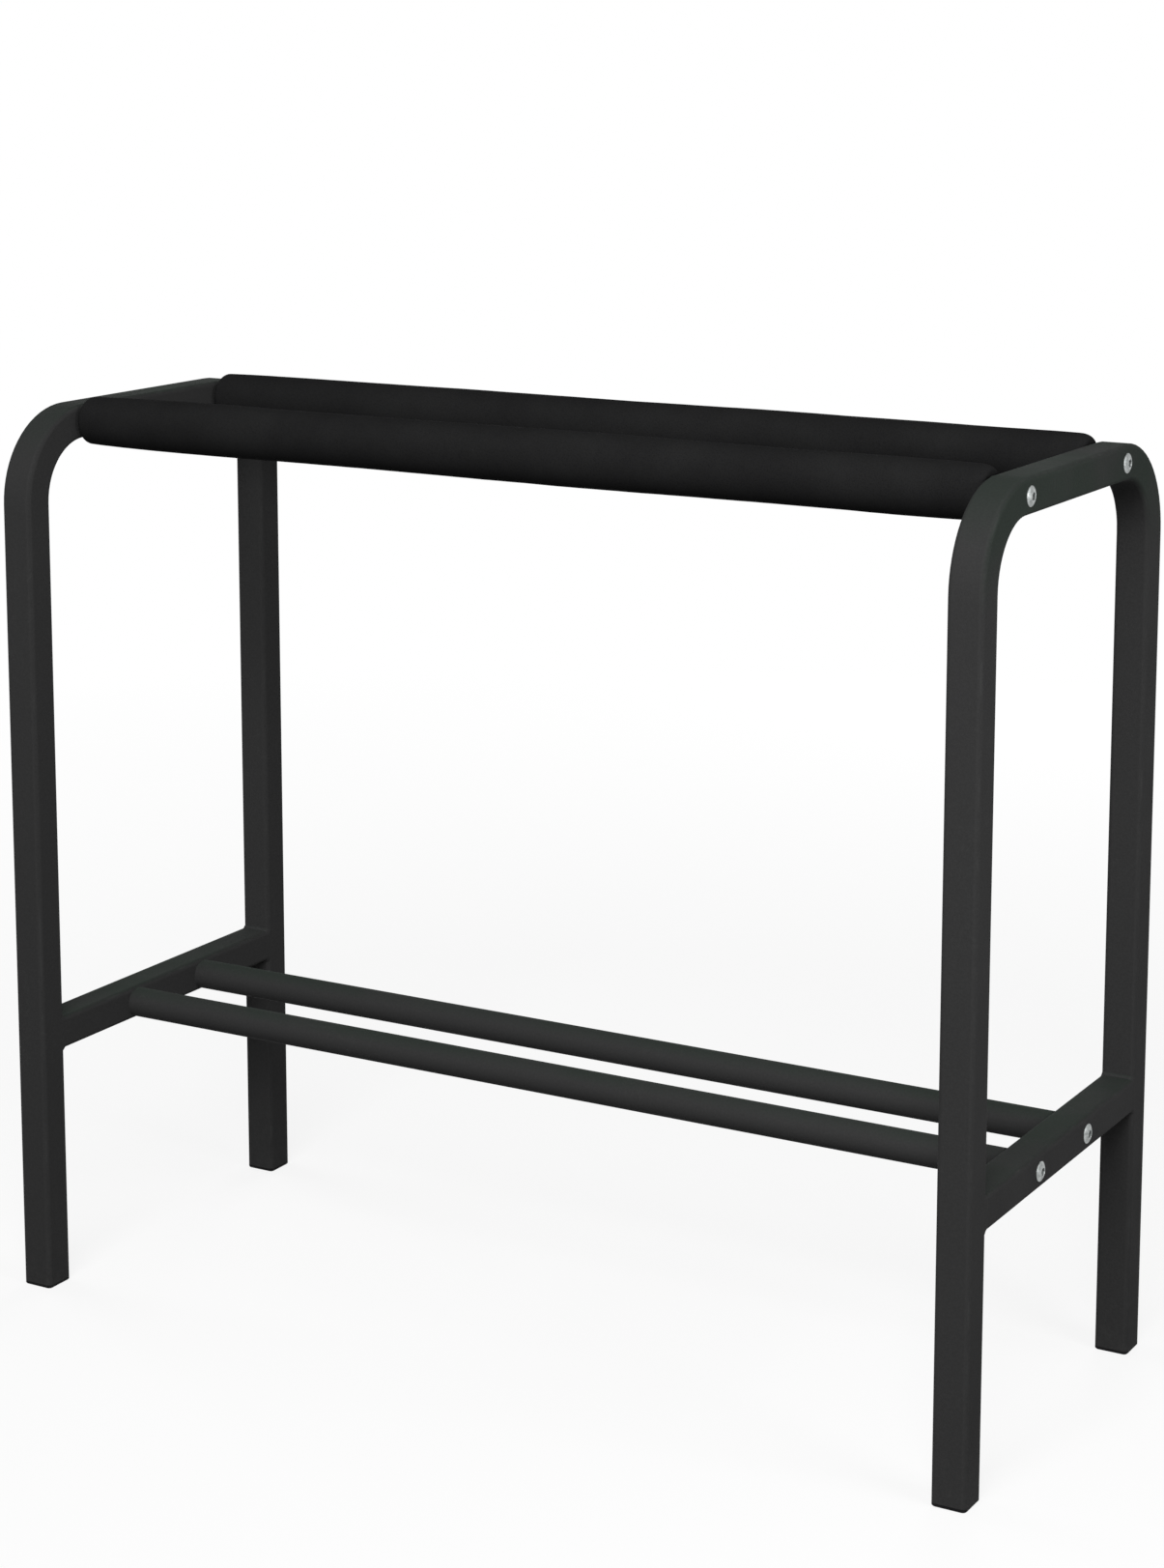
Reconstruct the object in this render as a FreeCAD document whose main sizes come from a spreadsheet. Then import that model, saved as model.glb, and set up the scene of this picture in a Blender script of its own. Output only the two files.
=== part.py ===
import FreeCAD, Part
import math
import os

import Sketcher

# Racket display stand: two bent end frames, joined by two sleeved top bars and two lower rails.
# Millimetres. +X runs along the bars to the right, +Y to the back and +Z up.
# The origin is on the floor, under the middle of the stand.

SIZES = {
    # Whole stand
    "stand_length": 620.0,  # over the outer faces of the two end frames
    "stand_depth": 252.0,  # over the front and rear legs
    "stand_height": 534.0,  # floor to the top of an end frame
    # End frames and braces, all of one square tube
    "frame_tube": 20.0,
    "frame_wall": 1.5,
    "frame_corner": 2.75,  # outer radius of the tube's long edges
    "bend_radius": 45.0,  # of the tube's centre line
    "brace_height": 156.0,  # floor to the brace's centre line
    "weld_leg": 1.5,
    # Top bars and their sleeves
    "top_bar_spacing": 136.0,  # between the two centre lines
    "top_bar_diameter": 18.0,
    "top_bar_wall": 1.5,
    "sleeve_diameter": 30.0,
    "sleeve_bore_clearance": 0.1,  # on the radius
    "sleeve_end_clearance": 1.0,
    "sleeve_edge": 2.5,
    # Lower rails
    "lower_rail_spacing": 68.0,  # between the two centre lines
    "lower_rail_diameter": 18.0,
    "lower_rail_wall": 1.5,
    # Bolts and the threaded inserts that take them
    "bolt_diameter": 6.0,
    "bolt_hole_clearance": 0.25,  # on the radius
    "bolt_engagement": 15.0,
    "bolt_tip_chamfer": 0.8,
    "bolt_head_diameter": 11.0,
    "bolt_head_height": 2.2,
    "bolt_head_rim": 0.6,
    "socket_width": 4.0,  # across flats
    "socket_depth": 1.8,
    "insert_length": 22.0,
    "insert_clearance": 0.05,  # on the radius, in the bore of the bar or rail
    "insert_chamfer": 1.0,
    "thread_clearance": 0.05,  # on the radius
    # Foot caps
    "cap_flange": 2.0,
    "cap_edge": 0.6,
    "cap_stem": 14.0,
    "cap_stem_gap": 0.9,  # from the stem to the leg's bore
    "cap_stem_wall": 2.0,
    "cap_rib_clearance": 0.05,  # from a rib to the leg's bore
    "cap_rib_thickness": 1.2,
    "cap_rib_start": 3.0,  # first rib, above the flange
    "cap_rib_pitch": 4.0,
}
CAP_RIBS = 3
LEFT_AND_RIGHT = (("left", -1), ("right", 1))
FRONT_AND_REAR = (("front", -1), ("rear", 1))

SHEET = "Sizes"
PARTS_FOLDER = "parts"
HALF_TURN = 180.0
UPRIGHT = FreeCAD.Vector(0, 0, 1)
TOUCH = 0.001  # two places closer than this are the same


class Length:
    """A length in millimetres, kept with the sheet expression that gives it."""

    def __init__(self, number, text):
        self.number = float(number)
        self.text = text

    def __add__(self, other):
        return Length(self.number + other.number, f"({self.text} + {other.text})")

    def __sub__(self, other):
        return Length(self.number - other.number, f"({self.text} - {other.text})")

    def __neg__(self):
        return Length(-self.number, f"(0 - {self.text})")

    def __mul__(self, factor):
        return Length(self.number * factor, f"({self.text} * {factor})")

    def __truediv__(self, divisor):
        return Length(self.number / divisor, f"({self.text} / {divisor})")


ZERO = Length(0, "0")


def make_sheet(doc):
    """Writes the driving sizes into a spreadsheet and returns them as Lengths."""
    sheet = doc.addObject("Spreadsheet::Sheet", SHEET)
    sizes = {}
    for row, (alias, number) in enumerate(SIZES.items(), start=1):
        sheet.set(f"A{row}", alias.replace("_", " "))
        sheet.set(f"B{row}", str(number))
        sheet.setAlias(f"B{row}", alias)
        sizes[alias] = Length(number, f"{SHEET}.{alias}")
    doc.recompute()
    return sizes


def bind(target, path, length):
    """Ties a property to its size in the sheet."""
    target.setExpression(path, length.text)


# Places that more than one piece shares


def frame_bore(sizes):
    """Inside width of the square tube."""
    return sizes["frame_tube"] - sizes["frame_wall"] * 2


def frame_x(sizes):
    """From the middle of the stand to the middle of an end frame."""
    return (sizes["stand_length"] - sizes["frame_tube"]) / 2


def leg_y(sizes):
    """From the middle of the stand to the middle of a leg."""
    return (sizes["stand_depth"] - sizes["frame_tube"]) / 2


def top_z(sizes):
    """Height of the middle of a frame's top tube, where the top bars sit."""
    return sizes["stand_height"] - sizes["frame_tube"] / 2


def clear_length(sizes):
    """Distance between the inner faces of the two end frames."""
    return sizes["stand_length"] - sizes["frame_tube"] * 2


def bolt_hole(sizes):
    """Diameter of the holes that the bolts pass through."""
    return sizes["bolt_diameter"] + sizes["bolt_hole_clearance"] * 2


# Sketches


def new_sketch(body, name, plane, x=ZERO, y=ZERO, z=ZERO):
    """Adds a sketch on one of the body's own planes, shifted along the plane's own axes."""
    planes = [feature for feature in body.Origin.OriginFeatures if feature.Role == plane]
    sketch = body.newObject("Sketcher::SketchObject", name)
    sketch.AttachmentSupport = [(planes[0], "")]
    sketch.MapMode = "FlatFace"
    for axis, length in (("x", x), ("y", y), ("z", z)):
        bind(sketch, f"AttachmentOffset.Base.{axis}", length)
    return sketch


def dimension(sketch, kind, places, length):
    """Adds a dimension to a sketch, tied to the sheet."""
    index = sketch.addConstraint(Sketcher.Constraint(kind, *places, length.number))
    bind(sketch, f"Constraints[{index}]", length)


def pin_point(sketch, point, position):
    """Holds a point of a sketch at its distances, either way, from the sketch's origin."""
    origin = (-1, 1)
    upright_axis = -2
    level_axis = -1
    across, along = position
    for kind, axis, length in (("DistanceX", upright_axis, across), ("DistanceY", level_axis, along)):
        if length.number > 0:
            dimension(sketch, kind, origin + point, length)
        elif length.number < 0:
            dimension(sketch, kind, point + origin, -length)
        else:
            sketch.addConstraint(Sketcher.Constraint("PointOnObject", *point, axis))


def draw_circle(sketch, diameter, x=ZERO):
    """Draws a circle whose centre lies on the sketch's level axis."""
    centre = FreeCAD.Vector(x.number, 0, 0)
    circle = sketch.addGeometry(Part.Circle(centre, UPRIGHT, diameter.number / 2))
    dimension(sketch, "Diameter", (circle,), diameter)
    pin_point(sketch, (circle, 3), (x, ZERO))


def draw_rounded_square(sketch, side, corner):
    """Draws a square with round corners about the sketch's origin."""
    first = sketch.GeometryCount
    reach = side.number / 2 - corner.number
    quarter = math.radians(90)
    arcs = []
    for step, (across, along) in enumerate(((1, -1), (1, 1), (-1, 1), (-1, -1))):
        centre = FreeCAD.Vector(across * reach, along * reach, 0)
        circle = Part.Circle(centre, UPRIGHT, corner.number)
        arcs.append(Part.ArcOfCircle(circle, (step - 1) * quarter, step * quarter))
    for step, arc in enumerate(arcs):
        sketch.addGeometry(Part.LineSegment(arcs[step - 1].EndPoint, arc.StartPoint))
        sketch.addGeometry(arc)
    lines = range(first, first + 2 * len(arcs), 2)
    for step, line in enumerate(lines):
        following = lines[(step + 1) % len(lines)]
        sketch.addConstraint(Sketcher.Constraint("Tangent", line, 2, line + 1, 1))
        sketch.addConstraint(Sketcher.Constraint("Tangent", line + 1, 2, following, 1))
        direction = "Vertical" if step % 2 else "Horizontal"
        sketch.addConstraint(Sketcher.Constraint(direction, line))
        if step:
            sketch.addConstraint(Sketcher.Constraint("Equal", first + 1, line + 1))
    bottom, right, top, left = lines
    dimension(sketch, "Radius", (first + 1,), corner)
    dimension(sketch, "DistanceX", (left, 1, right, 1), side)
    dimension(sketch, "DistanceY", (bottom, 1, top, 1), side)
    sketch.addConstraint(Sketcher.Constraint("Symmetric", bottom, 1, top, 1, -1, 1))


def draw_frame_section(sketch, sizes):
    """Draws the square tube's section, one round-cornered square inside the other."""
    draw_rounded_square(sketch, sizes["frame_tube"], sizes["frame_corner"])
    draw_rounded_square(sketch, frame_bore(sizes), sizes["frame_corner"] - sizes["frame_wall"])


def draw_chain(sketch, points, closed=True):
    """Draws straight lines from point to point, each point held at its place."""
    first = sketch.GeometryCount
    ends = [FreeCAD.Vector(across.number, along.number, 0) for across, along in points]
    if closed:
        ends.append(ends[0])
    for start, end in zip(ends, ends[1:]):
        sketch.addGeometry(Part.LineSegment(start, end))
    last = sketch.GeometryCount - 1
    for line in range(first, last):
        sketch.addConstraint(Sketcher.Constraint("Coincident", line, 2, line + 1, 1))
    for index, point in enumerate(points):
        place = (first + index, 1) if first + index <= last else (last, 2)
        pin_point(sketch, place, point)
    if closed:
        sketch.addConstraint(Sketcher.Constraint("Coincident", last, 2, first, 1))
    return first, last


# Features


def new_body(doc, name):
    """Starts one sub-part."""
    body = doc.addObject("PartDesign::Body", name)
    body.Label = name
    return body


def place(body, x=ZERO, y=ZERO, z=ZERO, turn=0.0):
    """Puts a sub-part in the stand, turned by some degrees about the upright axis."""
    body.Placement = FreeCAD.Placement(FreeCAD.Vector(), FreeCAD.Rotation(UPRIGHT, turn))
    for axis, length in (("x", x), ("y", y), ("z", z)):
        bind(body, f"Placement.Base.{axis}", length)


def add_pad(body, name, sketch, length, symmetric=False, reverse=False):
    """Pads a sketch along its normal, or half of it each way."""
    pad = body.newObject("PartDesign::Pad", name)
    pad.Profile = sketch
    pad.SideType = "Symmetric" if symmetric else "One side"
    pad.Reversed = reverse
    bind(pad, "Length", length)
    body.Document.recompute()
    return pad


def add_pocket(body, name, sketch, length, symmetric=False, reverse=False):
    """Cuts a sketch into the body, and makes sure that it takes material away."""
    before = body.Shape.Volume
    pocket = body.newObject("PartDesign::Pocket", name)
    pocket.Profile = sketch
    pocket.SideType = "Symmetric" if symmetric else "One side"
    pocket.Reversed = reverse
    bind(pocket, "Length", length)
    body.Document.recompute()
    if body.Shape.Volume > before - TOUCH:
        raise ValueError(f"{body.Label}: {name} cuts nothing")
    return pocket


def end_edges(feature, axis, position):
    """Names the edges of a feature that lie wholly at one place along an axis."""
    names = []
    for index, edge in enumerate(feature.Shape.Edges, start=1):
        low = getattr(edge.BoundBox, axis + "Min")
        high = getattr(edge.BoundBox, axis + "Max")
        if abs(low - position) < TOUCH and abs(high - position) < TOUCH:
            names.append(f"Edge{index}")
    return names


def add_chamfer(body, name, base, edges, size):
    """Chamfers some edges of the last feature."""
    chamfer = body.newObject("PartDesign::Chamfer", name)
    chamfer.Base = (base, edges)
    bind(chamfer, "Size", size)
    body.Document.recompute()
    return chamfer


# Sub-parts


def make_end_frame(doc, name, sizes):
    """One square tube bent into an upside-down U, with two bolt holes through its top."""
    body = new_body(doc, name)
    side = leg_y(sizes)
    top = top_z(sizes)
    bend = sizes["bend_radius"]
    path = new_sketch(body, name + "_path", "YZ_Plane")
    draw_bent_path(path, side, sizes["cap_flange"], top, bend)
    section = new_sketch(body, name + "_section", "XY_Plane", y=-side, z=sizes["cap_flange"])
    draw_frame_section(section, sizes)
    tube = body.newObject("PartDesign::AdditivePipe", name + "_tube")
    tube.Profile = section
    tube.Spine = path
    doc.recompute()
    holes = new_sketch(body, name + "_holes", "YZ_Plane", y=top)
    for _, way in FRONT_AND_REAR:
        draw_circle(holes, bolt_hole(sizes), sizes["top_bar_spacing"] / 2 * way)
    add_pocket(body, name + "_bolt_holes", holes, sizes["frame_tube"] * 2, symmetric=True)
    return body


def draw_bent_path(sketch, side, foot, top, bend):
    """Draws the tube's centre line: up one leg, round a bend, across, round a bend and down."""
    quarter = math.radians(90)
    left_centre = FreeCAD.Vector(bend.number - side.number, top.number - bend.number, 0)
    right_centre = FreeCAD.Vector(side.number - bend.number, top.number - bend.number, 0)
    left_bend = Part.ArcOfCircle(Part.Circle(left_centre, UPRIGHT, bend.number), quarter, 2 * quarter)
    right_bend = Part.ArcOfCircle(Part.Circle(right_centre, UPRIGHT, bend.number), 0, quarter)
    left_foot = FreeCAD.Vector(-side.number, foot.number, 0)
    right_foot = FreeCAD.Vector(side.number, foot.number, 0)
    left_leg = sketch.addGeometry(Part.LineSegment(left_foot, left_bend.EndPoint))
    left_arc = sketch.addGeometry(left_bend)
    crossing = sketch.addGeometry(Part.LineSegment(left_bend.StartPoint, right_bend.EndPoint))
    right_arc = sketch.addGeometry(right_bend)
    right_leg = sketch.addGeometry(Part.LineSegment(right_bend.StartPoint, right_foot))
    for one, end, other, start in (
        (left_leg, 2, left_arc, 2),
        (left_arc, 1, crossing, 1),
        (crossing, 2, right_arc, 2),
        (right_arc, 1, right_leg, 1),
    ):
        sketch.addConstraint(Sketcher.Constraint("Tangent", one, end, other, start))
    for leg in (left_leg, right_leg):
        sketch.addConstraint(Sketcher.Constraint("Vertical", leg))
    sketch.addConstraint(Sketcher.Constraint("Horizontal", crossing))
    sketch.addConstraint(Sketcher.Constraint("Equal", left_arc, right_arc))
    dimension(sketch, "Radius", (left_arc,), bend)
    dimension(sketch, "DistanceY", (-1, 1, crossing, 1), top)
    pin_point(sketch, (left_leg, 1), (-side, foot))
    pin_point(sketch, (right_leg, 2), (side, foot))


def make_brace(doc, name, sizes):
    """A length of the square tube between two legs, with two bolt holes across it."""
    body = new_body(doc, name)
    section = new_sketch(body, name + "_section", "XZ_Plane")
    draw_frame_section(section, sizes)
    length = sizes["stand_depth"] - sizes["frame_tube"] * 2
    add_pad(body, name + "_tube", section, length, symmetric=True)
    holes = new_sketch(body, name + "_holes", "YZ_Plane")
    for _, way in FRONT_AND_REAR:
        draw_circle(holes, bolt_hole(sizes), sizes["lower_rail_spacing"] / 2 * way)
    add_pocket(body, name + "_bolt_holes", holes, sizes["frame_tube"] * 2, symmetric=True)
    return body


def make_weld(doc, name, sizes):
    """The weld round a brace's end. Its origin is where the brace's centre line meets the leg."""
    body = new_body(doc, name)
    half = sizes["frame_tube"] / 2
    leg = sizes["weld_leg"]
    corner = sizes["frame_corner"]
    side = new_sketch(body, name + "_side", "YZ_Plane")
    outline = (
        (-corner, -half),
        (ZERO, -(half + leg)),
        (leg, -half),
        (leg, half),
        (ZERO, half + leg),
        (-corner, half),
    )
    draw_chain(side, outline)
    add_pad(body, name + "_metal", side, sizes["frame_tube"], symmetric=True)
    upright = new_sketch(body, name + "_leg_section", "XY_Plane", y=-half)
    draw_rounded_square(upright, sizes["frame_tube"], corner)
    add_pocket(body, name + "_leg_room", upright, (half + leg) * 4, symmetric=True)
    level = new_sketch(body, name + "_brace_section", "XZ_Plane")
    draw_rounded_square(level, sizes["frame_tube"], corner)
    add_pocket(body, name + "_brace_room", level, leg * 2)
    return body


def make_tube(doc, name, outer, inner, length):
    """A round tube along X, about the middle of its length."""
    body = new_body(doc, name)
    section = new_sketch(body, name + "_section", "YZ_Plane")
    draw_circle(section, outer)
    draw_circle(section, inner)
    add_pad(body, name + "_tube", section, length, symmetric=True)
    return body


def make_sleeve(doc, name, sizes):
    """A thick soft tube over a top bar, with its end edges eased."""
    inner = sizes["top_bar_diameter"] + sizes["sleeve_bore_clearance"] * 2
    length = clear_length(sizes) - sizes["sleeve_end_clearance"] * 2
    body = make_tube(doc, name, sizes["sleeve_diameter"], inner, length)
    tube = body.Tip
    edges = [
        edge
        for way in (-1, 1)
        for edge in end_edges(tube, "X", way * length.number / 2)
        if tube.Shape.getElement(edge).Curve.Radius > inner.number / 2 + TOUCH
    ]
    add_chamfer(body, name + "_end_edges", tube, edges, sizes["sleeve_edge"])
    return body


def make_insert(doc, name, bore, sizes):
    """A threaded plug that fills a tube's end. Its origin is in the tube's end face, facing +X."""
    body = new_body(doc, name)
    length = sizes["insert_length"]
    section = new_sketch(body, name + "_section", "YZ_Plane")
    draw_circle(section, bore - sizes["insert_clearance"] * 2)
    draw_circle(section, sizes["bolt_diameter"] + sizes["thread_clearance"] * 2)
    plug = add_pad(body, name + "_plug", section, length, reverse=True)
    edges = end_edges(plug, "X", -length.number)
    add_chamfer(body, name + "_lead_in", plug, edges, sizes["insert_chamfer"])
    return body


def make_bolt(doc, name, sizes):
    """A domed bolt. Its origin is under the head, and the head faces +X."""
    body = new_body(doc, name)
    radius = sizes["bolt_diameter"] / 2
    head = sizes["bolt_head_diameter"] / 2
    crown = sizes["bolt_head_height"]
    rim = sizes["bolt_head_rim"]
    tip = -(sizes["frame_tube"] + sizes["bolt_engagement"])
    chamfer = sizes["bolt_tip_chamfer"]
    outline = (
        (crown, ZERO),
        (tip, ZERO),
        (tip, radius - chamfer),
        (tip + chamfer, radius),
        (ZERO, radius),
        (ZERO, head),
        (rim, head),
    )
    half_section = new_sketch(body, name + "_half_section", "XY_Plane")
    first, last = draw_chain(half_section, outline, closed=False)
    draw_dome(half_section, first, last, crown, rim, head)
    turned = body.newObject("PartDesign::Revolution", name + "_turned")
    turned.Profile = half_section
    turned.ReferenceAxis = (half_section, ["H_Axis"])
    doc.recompute()
    socket = new_sketch(body, name + "_socket", "YZ_Plane", z=crown)
    draw_hexagon(socket, sizes["socket_width"])
    add_pocket(body, name + "_socket_cut", socket, sizes["socket_depth"])
    return body


def draw_dome(sketch, first, last, crown, rim, head):
    """Closes a bolt's half section with an arc from the head's rim to its crown on the axis."""
    rise = crown.number - rim.number
    radius = (head.number ** 2 + rise ** 2) / (2 * rise)
    centre = FreeCAD.Vector(crown.number - radius, 0, 0)
    angle = math.asin(head.number / radius)
    arc = sketch.addGeometry(Part.ArcOfCircle(Part.Circle(centre, UPRIGHT, radius), 0, angle))
    sketch.addConstraint(Sketcher.Constraint("Coincident", arc, 1, first, 1))
    sketch.addConstraint(Sketcher.Constraint("Coincident", arc, 2, last, 2))
    sketch.addConstraint(Sketcher.Constraint("PointOnObject", arc, 3, -1))


def draw_hexagon(sketch, width):
    """Draws a hexagon about the sketch's origin, with two sides level."""
    half = width / 2
    point = width / math.sqrt(3)
    shoulder = point / 2
    corners = (
        (point, ZERO),
        (shoulder, half),
        (-shoulder, half),
        (-point, ZERO),
        (-shoulder, -half),
        (shoulder, -half),
    )
    draw_chain(sketch, corners)


def make_foot_cap(doc, name, sizes):
    """A plug for a leg's open end, with gripping ribs. Its origin is under it, on the floor."""
    body = new_body(doc, name)
    flange = sizes["cap_flange"]
    bore = frame_bore(sizes)
    bore_corner = sizes["frame_corner"] - sizes["frame_wall"]
    sole = new_sketch(body, name + "_sole", "XY_Plane")
    draw_rounded_square(sole, sizes["frame_tube"], sizes["frame_corner"])
    pad = add_pad(body, name + "_flange", sole, flange)
    add_chamfer(body, name + "_sole_edge", pad, end_edges(pad, "Z", 0), sizes["cap_edge"])
    stem_side = bore - sizes["cap_stem_gap"] * 2
    stem = new_sketch(body, name + "_stem", "XY_Plane", z=flange)
    draw_rounded_square(stem, stem_side, bore_corner)
    add_pad(body, name + "_stem_pad", stem, sizes["cap_stem"])
    rib = new_sketch(body, name + "_rib", "XY_Plane", z=flange + sizes["cap_rib_start"])
    draw_rounded_square(rib, bore - sizes["cap_rib_clearance"] * 2, bore_corner)
    rib_pad = add_pad(body, name + "_rib_pad", rib, sizes["cap_rib_thickness"])
    add_rib_row(body, name + "_ribs", rib_pad, rib, sizes["cap_rib_pitch"])
    hollow = new_sketch(body, name + "_hollow", "XY_Plane", z=flange + sizes["cap_stem"])
    draw_rounded_square(hollow, stem_side - sizes["cap_stem_wall"] * 2, bore_corner)
    add_pocket(body, name + "_hollow_cut", hollow, sizes["cap_stem"])
    return body


def add_rib_row(body, name, rib_pad, sketch, pitch):
    """Repeats a cap's rib up its stem."""
    row = body.newObject("PartDesign::LinearPattern", name)
    row.Originals = [rib_pad]
    row.Direction = (sketch, ["N_Axis"])
    row.Occurrences = CAP_RIBS
    bind(row, "Length", pitch * (CAP_RIBS - 1))
    body.Tip = row
    body.Document.recompute()


# The stand


def add_end(doc, sizes, side, way):
    """Adds an end frame, with its brace, welds and foot caps."""
    turn = 0.0 if way > 0 else HALF_TURN
    x = frame_x(sizes) * way
    height = sizes["brace_height"]
    place(make_end_frame(doc, f"{side}_end_frame", sizes), x, turn=turn)
    place(make_brace(doc, f"{side}_lower_brace", sizes), x, z=height, turn=turn)
    for row, row_way in FRONT_AND_REAR:
        inner_face = (leg_y(sizes) - sizes["frame_tube"] / 2) * row_way
        weld_turn = 0.0 if row_way < 0 else HALF_TURN
        place(make_weld(doc, f"{row}_{side}_weld", sizes), x, inner_face, height, weld_turn)
        place(make_foot_cap(doc, f"{row}_{side}_foot_cap", sizes), x, leg_y(sizes) * row_way)


def add_bar_ends(doc, sizes, name, bore, y, z):
    """Adds the inserts in both ends of a bar or rail, and the bolts that hold it."""
    for side, way in LEFT_AND_RIGHT:
        turn = 0.0 if way > 0 else HALF_TURN
        inner_face = clear_length(sizes) / 2 * way
        outer_face = sizes["stand_length"] / 2 * way
        place(make_insert(doc, f"{name}_{side}_insert", bore, sizes), inner_face, y, z, turn)
        place(make_bolt(doc, f"{name}_{side}_bolt", sizes), outer_face, y, z, turn)


def add_row(doc, sizes, row, way):
    """Adds the top bar with its sleeve, and the lower rail, of the front or the rear row."""
    length = clear_length(sizes)
    y = sizes["top_bar_spacing"] / 2 * way
    z = top_z(sizes)
    outer = sizes["top_bar_diameter"]
    bore = outer - sizes["top_bar_wall"] * 2
    place(make_tube(doc, f"{row}_top_bar", outer, bore, length), y=y, z=z)
    place(make_sleeve(doc, f"{row}_top_sleeve", sizes), y=y, z=z)
    add_bar_ends(doc, sizes, f"{row}_top_bar", bore, y, z)
    y = sizes["lower_rail_spacing"] / 2 * way
    z = sizes["brace_height"]
    outer = sizes["lower_rail_diameter"]
    bore = outer - sizes["lower_rail_wall"] * 2
    place(make_tube(doc, f"{row}_lower_rail", outer, bore, length), y=y, z=z)
    add_bar_ends(doc, sizes, f"{row}_lower_rail", bore, y, z)


def check(doc):
    """Stops the build if an object failed or a sub-part isn't one sound solid."""
    for item in doc.Objects:
        if "Invalid" in item.State or "Error" in item.State:
            raise ValueError(f"{item.Label} failed: {item.State}")
        if item.isDerivedFrom("Sketcher::SketchObject") and not item.FullyConstrained:
            raise ValueError(f"{item.Label} isn't fully constrained")
    bodies = [item for item in doc.Objects if item.isDerivedFrom("PartDesign::Body")]
    for body in bodies:
        if body.Shape.isNull() or not body.Shape.isValid() or len(body.Shape.Solids) != 1:
            raise ValueError(f"{body.Label} isn't one sound solid")
    return bodies


def main():
    doc = FreeCAD.newDocument("RacketDisplayStand")
    sizes = make_sheet(doc)
    for side, way in LEFT_AND_RIGHT:
        add_end(doc, sizes, side, way)
    for row, way in FRONT_AND_REAR:
        add_row(doc, sizes, row, way)
    doc.recompute()
    bodies = check(doc)
    os.makedirs(PARTS_FOLDER, exist_ok=True)
    for body in bodies:
        body.Shape.exportStep(os.path.join(PARTS_FOLDER, body.Label + ".step"))
    print(len(bodies), "sub-parts written")


main()
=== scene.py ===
import math
from itertools import product

import bpy
from mathutils import Matrix, Vector, noise


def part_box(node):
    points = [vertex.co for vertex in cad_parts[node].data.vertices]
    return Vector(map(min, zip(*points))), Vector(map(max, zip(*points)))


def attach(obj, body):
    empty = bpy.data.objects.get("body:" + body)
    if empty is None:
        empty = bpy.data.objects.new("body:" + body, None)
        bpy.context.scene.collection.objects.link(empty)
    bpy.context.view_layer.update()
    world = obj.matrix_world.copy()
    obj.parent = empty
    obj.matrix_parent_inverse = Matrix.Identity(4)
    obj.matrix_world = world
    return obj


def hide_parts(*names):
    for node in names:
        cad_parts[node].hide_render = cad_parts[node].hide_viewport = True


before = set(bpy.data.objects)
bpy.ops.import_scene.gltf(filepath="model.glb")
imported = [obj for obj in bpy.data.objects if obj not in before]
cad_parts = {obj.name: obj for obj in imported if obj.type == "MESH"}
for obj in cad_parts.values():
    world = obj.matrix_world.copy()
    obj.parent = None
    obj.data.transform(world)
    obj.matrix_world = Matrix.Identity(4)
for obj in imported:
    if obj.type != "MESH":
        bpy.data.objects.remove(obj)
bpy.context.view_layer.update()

MM = 0.001
ROOT = "root"
ROWS = ("front", "rear")
SIDES = ("left", "right")
BARS = ("front_top_bar", "rear_top_bar", "front_lower_rail", "rear_lower_rail")

# The camera is fitted to the object's edges in the photograph. Its focal length is in pixels.
PHOTO_LONG_SIDE = 1623
SENSOR = 36.0
CAMERA_FOCUS = 3419.7
CAMERA_PLACE = (0.9374, -1.6114, 0.7766)
CAMERA_TURN = 29.945
CAMERA_PITCH = 9.341
CAMERA_SHIFT = -0.16
CAMERA_CLIP = (0.05, 60.0)

# Colours are linear.
COAT_NEUTRAL = (0.0370, 0.0370, 0.0372)
# A painted green reflection, mixed into the coat where it faces up or outwards at the top.
COAT_GREEN_REFLECTION = (0.0285, 0.0352, 0.0306)
COAT_WORN = (0.085, 0.088, 0.086)
COAT_DUST = (0.110, 0.108, 0.102)
FOAM_DARK = (0.0142, 0.0142, 0.0145)
FOAM_LIGHT = (0.0174, 0.0175, 0.0177)
FOAM_LINT = (0.060, 0.060, 0.058)
ZINC_LIGHT = (0.42, 0.44, 0.435)
ZINC_DARK = (0.23, 0.245, 0.242)
# Painted shade in the bolt's socket and at the foot of its head.
ZINC_PAINTED_SHADE = (0.13, 0.134, 0.13)
INSERT_LIGHT = (0.52, 0.50, 0.44)
INSERT_DARK = (0.30, 0.29, 0.26)
CAP_BLACK = (0.0078, 0.0078, 0.0081)
CAP_GREY = (0.0135, 0.0135, 0.0138)
CAP_SCUFF = (0.045, 0.0445, 0.043)
FLOOR_PALE = (0.90, 0.90, 0.90)
FLOOR_BOUNCE = (0.07, 0.07, 0.07)
WHITE = (1.0, 1.0, 1.0)

# The share of a mark's colour where the mark is strongest.
COAT_WEAR_SHARE = 0.14
COAT_DUST_SHARE = 0.10
COAT_SCUFF_SHARE = 0.10
FOAM_LINT_SHARE = 0.35
# The bolt's share is of painted shade.
ZINC_PAINTED_SHADE_SHARE = 0.45
CAP_SCUFF_SHARE = 0.5

# Factors that paint shade into the colour of rounded corners and of the foam's underside.
COAT_CORNER_PAINTED_SHADE = 0.86
FOAM_UNDERSIDE_PAINTED_SHADE = 0.87

# Roughness from the smoothest patches to the roughest.
COAT_ROUGHNESS = (0.66, 0.78)
COAT_WEAR_POLISH = 0.10
FOAM_ROUGHNESS = (0.88, 0.98)
ZINC_ROUGHNESS = (0.42, 0.58)
INSERT_ROUGHNESS = (0.30, 0.46)
CAP_ROUGHNESS = (0.60, 0.74)
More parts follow.
